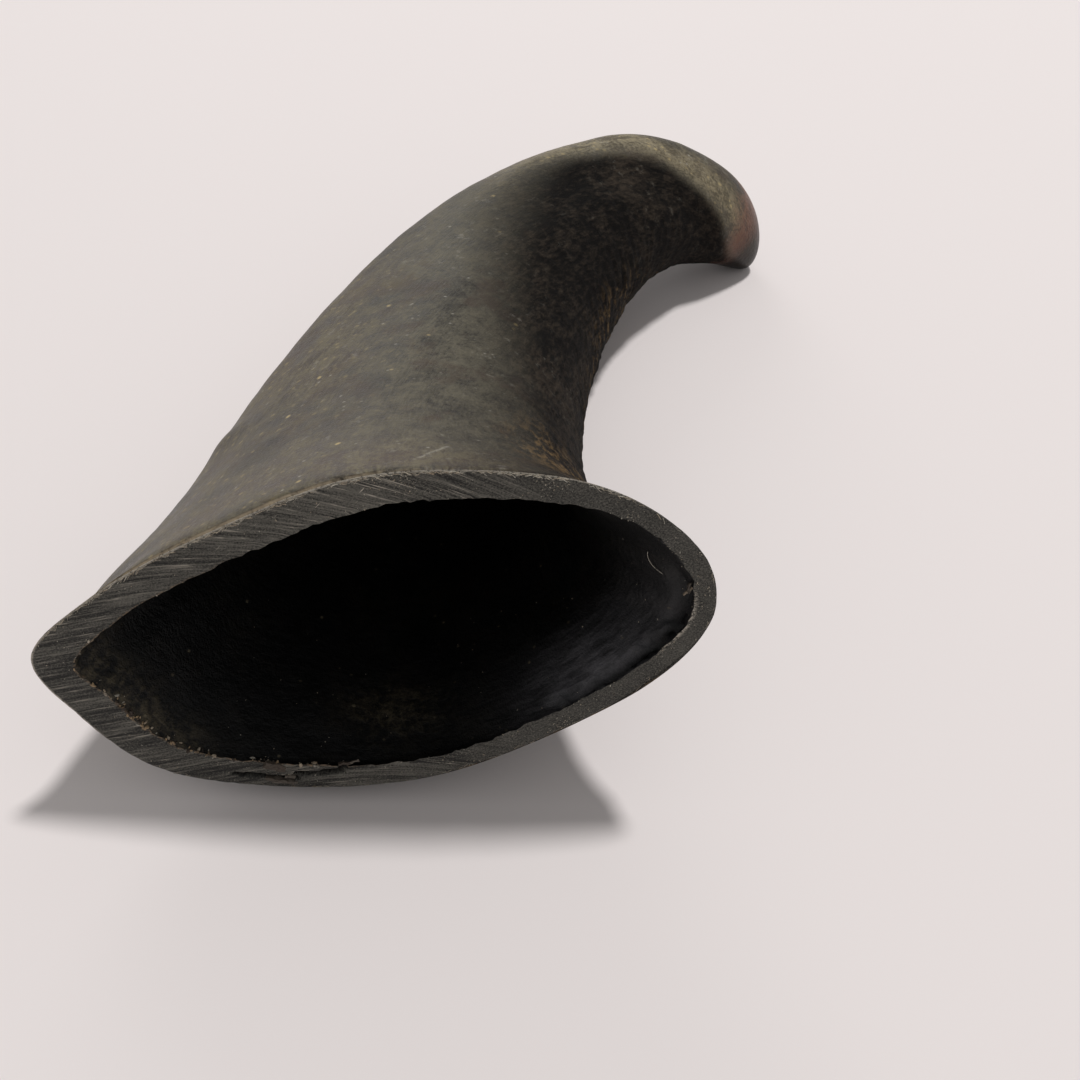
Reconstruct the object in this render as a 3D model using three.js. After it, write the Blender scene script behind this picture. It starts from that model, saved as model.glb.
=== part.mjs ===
import * as THREE from 'three';

// A buffalo horn: one hollow sheath with a solid tip, sawn off flat at its mouth.
// Sizes are millimetres and angles are degrees. In the horn's own frame the saw cut is
// the plane Y = 0. The horn runs to +Y, bends to +X, and its tip droops to -Z.
// It is then laid down on its belly, with its tip on the surface Z = 0.

const hornLength = 208; // along the middle line, from the cut to the end of the tip
const cavityLength = 128; // the hollow, along the same line

// The edge of the cut, anticlockwise as seen from inside the horn, about the middle line.
// wall is how thick the sheath is beside that point.
const mouthEdge = [
  { across: 48.9, up: -13, wall: 3.4 }, // thin end, on the inner side of the bend
  { across: 46, up: -0.5, wall: 3.2 },
  { across: 38, up: 10.8, wall: 4.2 },
  { across: 20.5, up: 22.2, wall: 5 },
  { across: 8, up: 26.7, wall: 5.6 },
  { across: -10, up: 27.8, wall: 5.6 },
  { across: -33, up: 26.2, wall: 5.4 },
  { across: -49.6, up: 20.4, wall: 6.4 }, // thick keel, on the outer side of the bend
  { across: -50.8, up: 8, wall: 6.8 },
  { across: -47, up: -8.5, wall: 6.2 },
  { across: -31, up: -22.8, wall: 5.6 },
  { across: -10.5, up: -32, wall: 4.4 },
  { across: 11, up: -33.2, wall: 4.2 },
  { across: 31, up: -30.1, wall: 3.8 },
  { across: 45, up: -23, wall: 3.4 },
];

const bend = { start: -4.4, total: 66.3 }; // even turn towards +X over the whole length
const droop = { start: -3.4, tip: -94, power: 6 }; // nearly all of it is in the last fifth
const twist = { early: -13, late: -84.6 }; // the section turns about the middle line
const taper = { body: 0.62, tip: 0.178, power: 1.73, flare: 0.1 }; // widths, in mouth widths
const roundness = { tip: 0.97, mix: 0.3, mixPower: 1.2, endPower: 4 }; // depth over width at the tip
const tipCap = 0.112; // the share of the length that the round end takes
const cavityShape = { power: 2, fullness: 0.72 }; // how the hollow narrows to its round end

const lay = { tilt: -13.79, roll: -30.46, turn: 17.83 }; // about X, then Y, then Z

const around = 72; // points round a section
const outerRings = 30;
const innerRings = 18;

const hornMaterial = new THREE.MeshStandardMaterial({ color: 0x35302b, roughness: 0.62, metalness: 0 });

const radians = THREE.MathUtils.degToRad;

// A closed smooth curve through points given as [across, up], as evenly spaced points.
function smoothLoop(points) {
  const corners = points.map(([across, up]) => new THREE.Vector3(across, up, 0));
  const curve = new THREE.CatmullRomCurve3(corners, true, 'centripetal');
  return curve.getSpacedPoints(around).slice(0, around);
}

// The point that lies one wall thickness inside the edge.
function insideEdge(index) {
  const count = mouthEdge.length;
  const here = mouthEdge[index];
  const before = mouthEdge[(index + count - 1) % count];
  const after = mouthEdge[(index + 1) % count];
  const along = new THREE.Vector2(after.across - before.across, after.up - before.up).normalize();
  return [here.across - along.y * here.wall, here.up + along.x * here.wall];
}

// An outline that turns into an oval of the same width and depth as the horn gets rounder.
function makeOutline(points) {
  const loop = smoothLoop(points);
  const box = new THREE.Box3().setFromPoints(loop);
  const middle = box.getCenter(new THREE.Vector3());
  const half = box.getSize(new THREE.Vector3()).multiplyScalar(0.5);
  const oval = loop.map((point) => {
    const angle = Math.atan2((point.y - middle.y) / half.y, (point.x - middle.x) / half.x);
    return new THREE.Vector3(middle.x + half.x * Math.cos(angle), middle.y + half.y * Math.sin(angle), 0);
  });
  return { loop, oval, depthRatio: half.y / half.x };
}

const outerEdge = makeOutline(mouthEdge.map((edge) => [edge.across, edge.up]));
const innerEdge = makeOutline(mouthEdge.map((edge, index) => insideEdge(index)));

// The middle line: each step goes the way the horn heads there.
const lineSteps = 416;
function headingAt(share) {
  const yaw = radians(bend.start + bend.total * share);
  const pitch = radians(droop.start + droop.tip * share ** droop.power);
  const level = Math.cos(pitch);
  return new THREE.Vector3(Math.sin(yaw) * level, Math.cos(yaw) * level, Math.sin(pitch));
}
const middleLine = [new THREE.Vector3()];
for (let step = 0; step < lineSteps; step += 1) {
  const heading = headingAt((step + 0.5) / lineSteps);
  middleLine.push(middleLine[step].clone().addScaledVector(heading, hornLength / lineSteps));
}

// The two axes of the section at a share of the length. At the mouth they lie in the cut.
function sectionAxes(share) {
  const yaw = radians(bend.start + bend.total * share);
  const turn = radians(twist.early * share + twist.late * share ** 2);
  const side = new THREE.Vector3(Math.cos(yaw), -Math.sin(yaw), 0);
  const top = new THREE.Vector3().crossVectors(side, headingAt(share)).normalize();
  const across = side.clone().multiplyScalar(Math.cos(turn)).addScaledVector(top, Math.sin(turn));
  const up = side.multiplyScalar(-Math.sin(turn)).addScaledVector(top, Math.cos(turn));
  const cutPull = (1 - share) ** 4;
  across.lerp(new THREE.Vector3(1, 0, 0), cutPull);
  up.lerp(new THREE.Vector3(0, 0, 1), cutPull);
  return { across, up };
}

// One ring of points at a share of the length, shrunk by shrink towards the middle line.
function sectionRing(outline, share, shrink) {
  const { across, up } = sectionAxes(share);
  const centre = middleLine[Math.round(share * lineSteps)];
  const steady = taper.body * (1 - (1 - taper.tip / taper.body) * share ** taper.power);
  const width = (steady + (1 - taper.body) * Math.exp(-share / taper.flare)) * shrink;
  const ratio = outerEdge.depthRatio;
  const depth = width * (1 + (roundness.tip / ratio - 1) * Math.sqrt(share));
  const { mix, mixPower, endPower } = roundness;
  const oval = mix * share ** mixPower + (1 - mix) * share ** endPower;
  return outline.loop.map((point, index) => {
    const shaped = point.clone().lerp(outline.oval[index], oval);
    return centre.clone().addScaledVector(across, shaped.x * width).addScaledVector(up, shaped.y * depth);
  });
}

// Shares of the length, closer together where the shape turns fastest, on whole line steps.
function outerShare(ring) {
  return Math.round((1 - (1 - ring / outerRings) ** 1.5) * lineSteps) / lineSteps;
}
function innerShare(ring) {
  const even = Math.sin((ring / innerRings) * (Math.PI / 2));
  return Math.round((even * cavityLength * lineSteps) / hornLength) / lineSteps;
}

const rings = [];
for (let ring = innerRings - 1; ring >= 0; ring -= 1) {
  const reach = (innerShare(ring) * hornLength) / cavityLength;
  const shrink = (1 - reach ** cavityShape.power) ** cavityShape.fullness;
  rings.push(sectionRing(innerEdge, innerShare(ring), shrink));
}
for (let ring = 0; ring < outerRings; ring += 1) {
  const capShare = Math.max(0, (outerShare(ring) - (1 - tipCap)) / tipCap);
  rings.push(sectionRing(outerEdge, outerShare(ring), Math.sqrt(1 - capShare ** 2)));
}

// One skin: the hollow's end, the hollow, the sawn rim, the outside and the tip.
function skinOverRings() {
  const points = rings.flat();
  const hollowEnd = points.push(middleLine[Math.round((cavityLength / hornLength) * lineSteps)]) - 1;
  const tipEnd = points.push(middleLine[lineSteps]) - 1;
  const triangles = [];
  for (let spot = 0; spot < around; spot += 1) {
    const next = (spot + 1) % around;
    triangles.push(hollowEnd, spot, next);
    for (let ring = 0; ring + 1 < rings.length; ring += 1) {
      const low = ring * around;
      const high = low + around;
      triangles.push(low + spot, high + spot, low + next, low + next, high + spot, high + next);
    }
    const last = (rings.length - 1) * around;
    triangles.push(tipEnd, last + next, last + spot);
  }
  const geometry = new THREE.BufferGeometry().setFromPoints(points);
  geometry.setIndex(triangles);
  return geometry;
}

// Lays the horn down and sets its origin under the middle of its box.
function layDown(geometry) {
  geometry.rotateX(radians(lay.tilt));
  geometry.rotateY(radians(lay.roll));
  geometry.rotateZ(radians(lay.turn));
  geometry.computeBoundingBox();
  const middle = geometry.boundingBox.getCenter(new THREE.Vector3());
  geometry.translate(-middle.x, -middle.y, -geometry.boundingBox.min.z);
  geometry.computeVertexNormals();
  return geometry;
}

const horn = new THREE.Group();
const sheath = new THREE.Mesh(layDown(skinOverRings()), hornMaterial);
sheath.name = 'horn_sheath';
horn.add(sheath);

export default horn;
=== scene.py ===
import math

import bpy
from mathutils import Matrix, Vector
from mathutils.geometry import interpolate_bezier


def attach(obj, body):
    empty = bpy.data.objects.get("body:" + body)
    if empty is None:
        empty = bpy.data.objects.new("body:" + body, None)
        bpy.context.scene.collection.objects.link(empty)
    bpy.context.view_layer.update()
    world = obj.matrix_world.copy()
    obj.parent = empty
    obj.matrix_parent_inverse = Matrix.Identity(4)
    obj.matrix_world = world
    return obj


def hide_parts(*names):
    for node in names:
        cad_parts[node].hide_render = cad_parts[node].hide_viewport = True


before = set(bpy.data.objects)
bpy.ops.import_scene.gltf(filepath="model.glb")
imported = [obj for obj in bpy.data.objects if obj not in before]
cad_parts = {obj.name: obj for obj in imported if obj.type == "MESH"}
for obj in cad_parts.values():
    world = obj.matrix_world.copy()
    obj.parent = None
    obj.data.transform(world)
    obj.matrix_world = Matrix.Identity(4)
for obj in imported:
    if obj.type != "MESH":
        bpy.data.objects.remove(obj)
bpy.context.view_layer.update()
print("frame loaded:", sorted(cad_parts))

# A sawn buffalo horn that lies on its belly, with its hollow mouth towards the front.
# Sizes are written in millimetres and angles in degrees, as a maker would measure them.
mm = 0.001
degree = math.pi / 180


# A node's output that can stand in a sum. Adding, multiplying and so on make the nodes for it.
class Wire:
    def __init__(self, socket):
        self.socket = socket
        self.tree = socket.id_data

    def __add__(self, other):
        return calc("ADD", self, other)

    def __radd__(self, other):
        return calc("ADD", other, self)

    def __sub__(self, other):
        return calc("SUBTRACT", self, other)

    def __rsub__(self, other):
        return calc("SUBTRACT", other, self)

    def __mul__(self, other):
        return calc("MULTIPLY", self, other)

    def __rmul__(self, other):
        return calc("MULTIPLY", other, self)

    def __truediv__(self, other):
        return calc("DIVIDE", self, other)

    def __pow__(self, other):
        return calc("POWER", self, other)


def isVector(value):
    if isinstance(value, Wire):
        return value.socket.type in ("VECTOR", "RGBA")
    return not isinstance(value, (int, float))


def addNode(tree, kind, inputs=None, **settings):
    node = tree.nodes.new(kind)
    for name, value in settings.items():
        setattr(node, name, value)
    for key, value in (inputs or {}).items():
        if isinstance(value, Wire):
            tree.links.new(value.socket, node.inputs[key])
        else:
            node.inputs[key].default_value = value
    return node


def calc(operation, *values):
    tree = next(value.tree for value in values if isinstance(value, Wire))
    if not any(isVector(value) for value in values):
        node = addNode(tree, "ShaderNodeMath", dict(enumerate(values)), operation=operation)
        return Wire(node.outputs[0])
    if operation == "MULTIPLY" and not all(isVector(value) for value in values):
        number, arrow = sorted(values, key=isVector)
        scaled = addNode(tree, "ShaderNodeVectorMath", {0: arrow, 3: number}, operation="SCALE")
        return Wire(scaled.outputs[0])
    node = addNode(tree, "ShaderNodeVectorMath", dict(enumerate(values)), operation=operation)
    return Wire(node.outputs[1 if operation in ("DOT_PRODUCT", "LENGTH") else 0])


def least(first, second):
    return calc("MINIMUM", first, second)


def most(first, second):
    return calc("MAXIMUM", first, second)


def blend(first, second, share):
    return first + (second - first) * share


# A bell of height 1 where value is middle, and nearly 0 beyond width on either side.
def bell(value, middle, width):
    offset = (value - middle) * (1 / width)
    return calc("EXPONENT", offset * offset * -3)


# 0 below low and 1 above high, with a smooth climb between. low may be the larger of the two.
def climb(value, low, high):
    settings = {"Value": value, "From Min": low, "From Max": high}
    node = addNode(value.tree, "ShaderNodeMapRange", settings, interpolation_type="SMOOTHSTEP")
    return Wire(node.outputs[0])


def joinParts(tree, x, y, z):
    return Wire(addNode(tree, "ShaderNodeCombineXYZ", {0: x, 1: y, 2: z}).outputs[0])


def splitParts(arrow):
    return [Wire(part) for part in addNode(arrow.tree, "ShaderNodeSeparateXYZ", {0: arrow}).outputs]


# The angle round the horn's section, in degrees.
def sectionAngle(across, up):
    return calc("ARCTAN2", up, across) / degree


# Soft clouds from 0 to 1. size is how wide one cloud is, in metres.
def clouds(place, size, detail=2.0, roughness=0.5, warp=0.0):
    settings = {"Vector": place, "Scale": 1 / size, "Detail": detail, "Roughness": roughness,
                "Distortion": warp}
    return Wire(addNode(place.tree, "ShaderNodeTexNoise", settings).outputs[0])


# How far a place is from the nearest of many scattered points, in widths of size.
def specks(place, size):
    settings = {"Vector": place, "Scale": 1 / size}
    return Wire(addNode(place.tree, "ShaderNodeTexVoronoi", settings).outputs[0])


# How far a place is from the straight line between two spots given in millimetres.
def lineGap(place, start, end):
    start, end = Vector(start) * mm, Vector(end) * mm
    way = end - start
    offset = place - tuple(start)
    reach = calc("DOT_PRODUCT", offset, tuple(way / way.length_squared))
    return calc("LENGTH", offset - least(most(reach, 0), 1) * tuple(way))


def newShapeTree(name, inputs):
    tree = bpy.data.node_groups.new(name, "GeometryNodeTree")
    tree.interface.new_socket("Geometry", in_out="INPUT", socket_type="NodeSocketGeometry")
    tree.interface.new_socket("Geometry", in_out="OUTPUT", socket_type="NodeSocketGeometry")
    for label, value in inputs.items():
        kind = "NodeSocketInt" if isinstance(value, int) else "NodeSocketFloat"
        tree.interface.new_socket(label, in_out="INPUT", socket_type=kind)
    given = tree.nodes.new("NodeGroupInput")
    return tree, {socket.name: Wire(socket) for socket in given.outputs if socket.name}


# Gives a short way to add a node to one tree and take one of its outputs.
def taker(tree):
    def take(kind, output=0, inputs=None, **settings):
        return Wire(addNode(tree, kind, inputs, **settings).outputs[output])
    return take


def stored(tree, label, kind="FLOAT"):
    return taker(tree)("GeometryNodeInputNamedAttribute", 0, {"Name": label}, data_type=kind)


def store(shape, label, value):
    kind = "FLOAT_VECTOR" if isVector(value) else "FLOAT"
    inputs = {"Geometry": shape, "Name": label, "Value": value}
    return taker(shape.tree)("GeometryNodeStoreNamedAttribute", 0, inputs, data_type=kind,
                             domain="POINT")


# Moves the spots of a shape that where names.
def push(shape, where, offset):
    moved = {"Geometry": shape, "Selection": where, "Offset": offset}
    return taker(shape.tree)("GeometryNodeSetPosition", 0, moved)


# A random number for each spot, the same in every run, because its seed is fixed.
def anyNumber(tree, low, high, seed):
    return taker(tree)("FunctionNodeRandomValue", 1, {2: low, 3: high, 8: seed}, data_type="FLOAT")


# Ends a tree. Each finish may come with the share of faces that it covers.
def endShapeTree(shape, *finishes):
    take = taker(shape.tree)
    shape = take("GeometryNodeRealizeInstances", 0, {"Geometry": shape})
    for finish, where in finishes:
        painted = {"Geometry": shape, "Selection": where, "Material": finish}
        shape = take("GeometryNodeSetMaterial", 0, painted)
    addNode(shape.tree, "NodeGroupOutput", {0: shape})


# Runs a tree on an object and keeps only the plain mesh that comes out.
def growPiece(name, mesh, tree, inputs):
    piece = bpy.data.objects.new(name, mesh)
    bpy.context.scene.collection.objects.link(piece)
    modifier = piece.modifiers.new(name, "NODES")
    modifier.node_group = tree
    for item in tree.interface.items_tree:
        if item.in_out == "INPUT" and item.name in inputs:
            modifier[item.identifier] = inputs[item.name]
    graph = bpy.context.evaluated_depsgraph_get()
    plain = bpy.data.meshes.new_from_object(piece.evaluated_get(graph), depsgraph=graph)
    piece.modifiers.clear()
    slots = [0] * len(plain.polygons)
    plain.polygons.foreach_get("material_index", slots)
    while plain.materials and plain.materials[0] is None:
        plain.materials.pop(index=0)
        slots = [max(slot - 1, 0) for slot in slots]
    plain.polygons.foreach_set("material_index", slots)
    piece.data = plain
    plain.name = name
    print(name, "has", len(plain.polygons), "faces")
    return piece


# A colour from its six digits, as Blender counts colours.
def paint(code):
    shades = [int(code[start:start + 2], 16) / 255 for start in (0, 2, 4)]
    return tuple(s / 12.92 if s <= 0.04045 else ((s + 0.055) / 1.055) ** 2.4 for s in shades) + (1.0,)


def newFinish(name):
    finish = bpy.data.materials.new(name)
    finish.use_nodes = True
    tree = finish.node_tree
    return finish, tree, tree.nodes["Principled BSDF"]


def mixPaint(share, first, second):
    node = addNode(share.tree, "ShaderNodeMix", {0: share, 6: first, 7: second}, data_type="RGBA")
    return Wire(node.outputs[2])


def setBump(tree, shader, height, depth):
    bump = addNode(tree, "ShaderNodeBump", {"Height": height, "Distance": depth, "Strength": 1.0})
    tree.links.new(bump.outputs[0], shader.inputs["Normal"])


# Where a spot was on the horn before it bent: across and up in its section, and along its length.
def surfacePlace(tree):
    return Wire(addNode(tree, "ShaderNodeAttribute", attribute_name="grown").outputs["Vector"])


def surfaceNumber(tree, name):
    return Wire(addNode(tree, "ShaderNodeAttribute", attribute_name=name).outputs["Fac"])


def addLink(tree, wire, shader, name):
    tree.links.new(wire.socket, shader.inputs[name])


skinLook = {
    "dark": paint("1f1b15"),
    "light": paint("625c4d"),
    "brown": paint("3f3228"),
    "olive": paint("69604a"),
    "bandLow": paint("554c3a"),
    "ridge": paint("8a7f66"),
    "fleck": paint("b8a373"),
    "dust": paint("a8a397"),
    "bark": paint("0d0b0a"),
    "barkCrest": paint("3b332b"),
    "rust": paint("70593a"),
    "tip": paint("6d4837"),
    "tipEnd": paint("130d0a"),
    "edge": paint("a6967f"),
    "scratch": ((18.2, 22.6, 5.0), (20.7, 18.8, 12.1)),  # its two ends: across, up and along
    "tipStart": (184, 194),  # where along the horn the tip's colour starts and is full
    "tipUnderStart": (194, 200),  # the same on the bark's side
    "tipDarkens": (193, 203),
    "bodyRough": 0.46,
    "barkRough": 0.8,
    "tipRough": 0.3,
    "bodyShine": 0.28,
    "barkShine": 0.08,
    "tipShine": 0.16,
    "bumpDepth": 0.35,
}

# How wide one cloud or streak of the skin is, and how far apart its scattered spots are.
skinGrain = {
    "broad": 26,
    "blotch": 12,
    "mottle": 4.5,
    "scuff": 2.6,
    "streak": 0.6,
    "grain": 0.6,
    "fleckGap": 7.5,
    "freckleGap": 1.9,
    "dustGap": 2.6,
    "wrinkle": 1.8,
    "pore": 1.1,
    "rustLine": 3,
}


def makeSkin():
    finish, tree, shader = newFinish("hornSkin")
    grown = surfacePlace(tree)
    barkGap = surfaceNumber(tree, "barkGap")
    across, up, along = splitParts(grown)
    angle = sectionAngle(across, up)
    lengthways = joinParts(tree, across, up, along * 0.14)
    crossways = joinParts(tree, across * 0.5, up * 0.5, along)
    width = {name: value * mm for name, value in skinGrain.items()}

    # Grey-brown horn, mottled at every scale, with fine streaks along its length.
    broad = clouds(grown, width["broad"], 3, 0.6)
    mottle = clouds(grown, width["mottle"], 4, 0.75, 0.4)
    streaks = clouds(lengthways, width["streak"], 3, 0.65)
    grain = clouds(grown, width["grain"], 3, 0.7)
    tone = (broad - 0.5) * 1.6 + (mottle - 0.5) * 3.4 + (streaks - 0.5) * 0.9 + (grain - 0.5) * 2.2
    colour = mixPaint(climb(tone, -1.25, 1.1), skinLook["dark"], skinLook["light"])
    blotches = climb(clouds(grown + (0.3, 0, 0), width["blotch"], 4, 0.65), 0.5, 0.62)
    colour = mixPaint(blotches * 0.6, colour, skinLook["brown"])
    farSide = climb(barkGap, -8 * mm, -42 * mm)
    nearMouth = climb(along, 26 * mm, 2 * mm)
    band = bell(barkGap, -6 * mm, 9 * mm) * climb(along, 110 * mm, 146 * mm)
    speckled = climb(mottle + (grain - 0.5) * 0.9 + (streaks - 0.5) * 0.5, 0.34, 0.66)
    oliveShare = most(farSide * 0.6, nearMouth * 0.65) * climb(broad + mottle * 0.6, 0.66, 0.9)
    colour = mixPaint(oliveShare, colour, mixPaint(speckled, skinLook["brown"], skinLook["olive"]))
    colour = mixPaint(band * 0.95, colour, mixPaint(speckled, skinLook["bandLow"], skinLook["ridge"]))
    flecks = climb(specks(grown, width["fleckGap"]), 0.09, 0.03) * climb(mottle, 0.42, 0.5)
    freckles = climb(specks(grown, width["freckleGap"]), 0.32, 0.14) * most(band, farSide * 0.4)
    freckles = freckles * climb(mottle, 0.46, 0.56)
    colour = mixPaint(most(flecks, freckles * 0.8) * 0.8, colour, skinLook["fleck"])
    dust = climb(specks(grown, width["dustGap"]), 0.17, 0.02)
    dust = dust * climb(clouds(grown, 6 * mm, 3), 0.46, 0.6)
    scratch = climb(lineGap(grown, *skinLook["scratch"]), 0.5 * mm, 0.1 * mm) * climb(grain, 0.3, 0.6)
    dust = most(dust, scratch * 0.7)
    colour = mixPaint(dust * 0.62, colour, skinLook["dust"])

    # Bark: nearly black and wrinkled across, with browner crests and rusty patches.
    late = climb(along, 112 * mm, 146 * mm)
    wrinkles = clouds(crossways, width["wrinkle"], 4, 0.75, 0.8)
    pores = clouds(joinParts(tree, across, up, along * 0.4), width["pore"], 4, 0.75)
    ragged = barkGap + (mottle - 0.5) * blend(8, 5, late) * mm + (broad - 0.5) * (12 * mm) * (1 - late)
    bark = climb(ragged, blend(-13, -2.6, late) * mm, blend(11, 2.4, late) * mm)
    crests = (wrinkles - 0.5) * 0.5 + (pores - 0.5) * 3 + (broad - 0.5) * 1.6 + (mottle - 0.5) * 1.4
    barkColour = mixPaint(climb(crests, -0.4, 1.1), skinLook["bark"], skinLook["barkCrest"])
    underside = climb(barkGap, 26 * mm, 46 * mm)
    lines = climb(clouds(crossways, width["rustLine"], 4, 0.75, 0.8), 0.5, 0.64)
    rusty = clouds(joinParts(tree, across, up, along * 0.5), width["rustLine"], 4, 0.8)
    besideMouth = bell(along, 24 * mm, 24 * mm) * bell(angle, 6, 30) * climb(rusty, 0.44, 0.58)
    patches = most(lines * underside * 0.75, besideMouth * 0.9)
    barkColour = mixPaint(patches * climb(pores, 0.3, 0.6), barkColour, skinLook["rust"])
    colour = mixPaint(bark, colour, barkColour)
    scuffs = climb(clouds(grown + (0.5, 0, 0), width["scuff"], 3, 0.75), 0.58, 0.72)
    scuffs = scuffs * climb(broad, 0.4, 0.6)
    colour = mixPaint(scuffs * blend(0.22, 0.13, bark), colour, skinLook["dust"])
    rimLine = climb(along, 0.5 * mm, 0.15 * mm) * climb(up, -4 * mm, 12 * mm)
    rimLine = rimLine * climb(across, 24 * mm, 4 * mm) * climb(mottle, 0.3, 0.6)
    colour = mixPaint(rimLine * 0.8, colour, skinLook["edge"])

    # The tip is smooth and reddish brown, and darker at its very end.
    uneven = along + (mottle - 0.5) * (12 * mm) + (streaks - 0.5) * (8 * mm)

    def beyond(name):
        start, full = skinLook[name]
        return climb(uneven, start * mm, full * mm)

    tip = most(beyond("tipStart") * (1 - bark), beyond("tipUnderStart"))
    tipColour = mixPaint(beyond("tipDarkens"), skinLook["tip"], skinLook["tipEnd"])
    tipColour = mixPaint(climb(tone, 0.1, -0.6) * 0.5, tipColour, skinLook["tipEnd"])
    colour = mixPaint(tip * 0.92, colour, tipColour)

    addLink(tree, colour, shader, "Base Color")
    rough = skinLook["bodyRough"] + (mottle - 0.5) * 0.5 + (grain - 0.5) * 0.5
    rough = blend(blend(rough, skinLook["barkRough"], bark), skinLook["tipRough"], tip)
    shine = blend(skinLook["bodyShine"], skinLook["barkShine"], bark)
    shine = blend(shine, skinLook["tipShine"], tip)
    addLink(tree, rough, shader, "Roughness")
    addLink(tree, shine, shader, "Specular IOR Level")
    fine = grain * 0.3 + streaks * 0.35 * (1 - bark) + (wrinkles * 0.4 + pores * 1.4) * bark * (1 - tip)
    setBump(tree, shader, fine, skinLook["bumpDepth"] * mm)
    return finish


sawnLook = {
    "dark": paint("262523"),
    "light": paint("706d65"),
    "fibre": paint("c8bfb1"),
    "crumb": paint("84705a"),
    # The cracks' near-black is painted shade.
    "crack": paint("0a0705"),
    "sawSlope": 0.28,  # how steeply the saw's marks fall at the keel
    "sawBend": 9.5,  # how fast they turn steeper from 30 mm left of the middle
    "markWidth": 0.42,
    "broadMarkWidth": 1.2,
    "scratchWidth": 0.28,
    "patchWidth": 7,
    "grainWidth": 0.3,
    "fuzzWidth": 0.6,
    "crackWidth": (0.46, 0.22),  # where a crack's dark line ends and where it is full
    "rough": 0.62,
    "shine": 0.22,
    "bumpDepth": 0.25,
}


def makeSawn():
    finish, tree, shader = newFinish("sawnFace")
    grown = surfacePlace(tree)
    rimReach = surfaceNumber(tree, "rimReach")
    crack = surfaceNumber(tree, "crack")
    across, up = splitParts(grown)[:2]

    # Fine marks that the saw left, crossed by later scratches on the top side, and smoother at the
    # thin end.
    reach = up + across * sawnLook["sawSlope"] + most(across + 30 * mm, 0) ** 2 * sawnLook["sawBend"]
    arcs = clouds(joinParts(tree, reach, across * 0.05, 0), sawnLook["markWidth"] * mm, 2, 0.7)
    broadArcs = joinParts(tree, reach, across * 0.04, 0.1)
    broadArcs = clouds(broadArcs, sawnLook["broadMarkWidth"] * mm, 2, 0.6)
    patch = clouds(grown, sawnLook["patchWidth"] * mm, 3, 0.6)
    grain = clouds(grown, sawnLook["grainWidth"] * mm, 2, 0.75)
    topSide = bell(across, 4 * mm, 34 * mm) * climb(up, 2 * mm, 18 * mm)
    sawn = blend(1, 0.12, climb(across - up * 0.6, 13 * mm, 28 * mm))
    tone = (arcs - 0.5) * 4 * sawn + (broadArcs - 0.5) * 2.6 * sawn + (patch - 0.5) + (grain - 0.5) * 4
    colour = mixPaint(climb(tone + topSide * 0.5, -0.85, 1.2), sawnLook["dark"], sawnLook["light"])
    slanting = joinParts(tree, (across + up * 0.6) * 0.1, up * 1.2 - across * 0.5, 0)
    slanting = clouds(slanting, sawnLook["scratchWidth"] * mm, 1, 0.5)
    threads = most(climb(arcs, 0.57, 0.67) * sawn, climb(slanting, 0.7, 0.78) * topSide)
    threads = threads * climb(clouds(grown, 2.4 * mm, 2), 0.36, 0.54)
    colour = mixPaint(threads * blend(0.35, 1, topSide), colour, sawnLook["fibre"])
    fuzz = clouds(grown, sawnLook["fuzzWidth"] * mm, 3, 0.75)

    # Crumbs and lint along the inner edge, pale fibres along the outer one, and the cracks, painted near
    # black as painted shade in them.
    innerEdge = climb(rimReach, 0.07, 0.01) * climb(across, -6 * mm, -30 * mm) * climb(fuzz, 0.42, 0.56)
    colour = mixPaint(innerEdge * 0.8, colour, sawnLook["crumb"])
    lintHere = bell(across, 41 * mm, 8 * mm) * climb(up, -14 * mm, -19 * mm) * climb(fuzz, 0.42, 0.54)
    colour = mixPaint(climb(rimReach, 0.2, 0.03) * lintHere, colour, sawnLook["fibre"])
    outerEdge = climb(rimReach, 0.93, 0.99) * climb(up, -4 * mm, 12 * mm) * climb(fuzz, 0.32, 0.52)
    colour = mixPaint(outerEdge * 0.85, colour, sawnLook["fibre"])
    spot = joinParts(tree, across + (patch - 0.5) * (2 * mm), up + (fuzz - 0.5) * (1.2 * mm), 0)
    ends, full = [width * mm for width in sawnLook["crackWidth"]]
    for start, end in cracks:
        crack = most(crack, climb(lineGap(spot, (*start, 0), (*end, 0)), ends, full))
    colour = mixPaint(crack, colour, sawnLook["crack"])
    addLink(tree, colour, shader, "Base Color")
    shader.inputs["Roughness"].default_value = sawnLook["rough"]
    shader.inputs["Specular IOR Level"].default_value = sawnLook["shine"]
    fine = arcs * 1.3 * sawn + broadArcs * 0.4 + threads * 0.3 + grain * 0.6
    setBump(tree, shader, fine, sawnLook["bumpDepth"] * mm)
    return finish


hollowLook = {
    # dark and light are both nearly black: they carry painted shade for the depth of the hollow as well
    # as the wall's own dark colour.
    "dark": paint("020202"),
    "light": paint("181511"),
    "crusty": paint("4f4737"),
    # The pale grey that is painted on the loose layer at the lower right, as a painted sheen.
    "paintedSheen": paint("78767a"),
    "crumb": paint("7c725c"),
    "streakWidth": 1.1,
    "cloudWidth": 9,
    "gritWidth": 1.4,
    "rough": 0.5,
    "shine": 0.3,
    "bumpDepth": 0.5,
}


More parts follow.
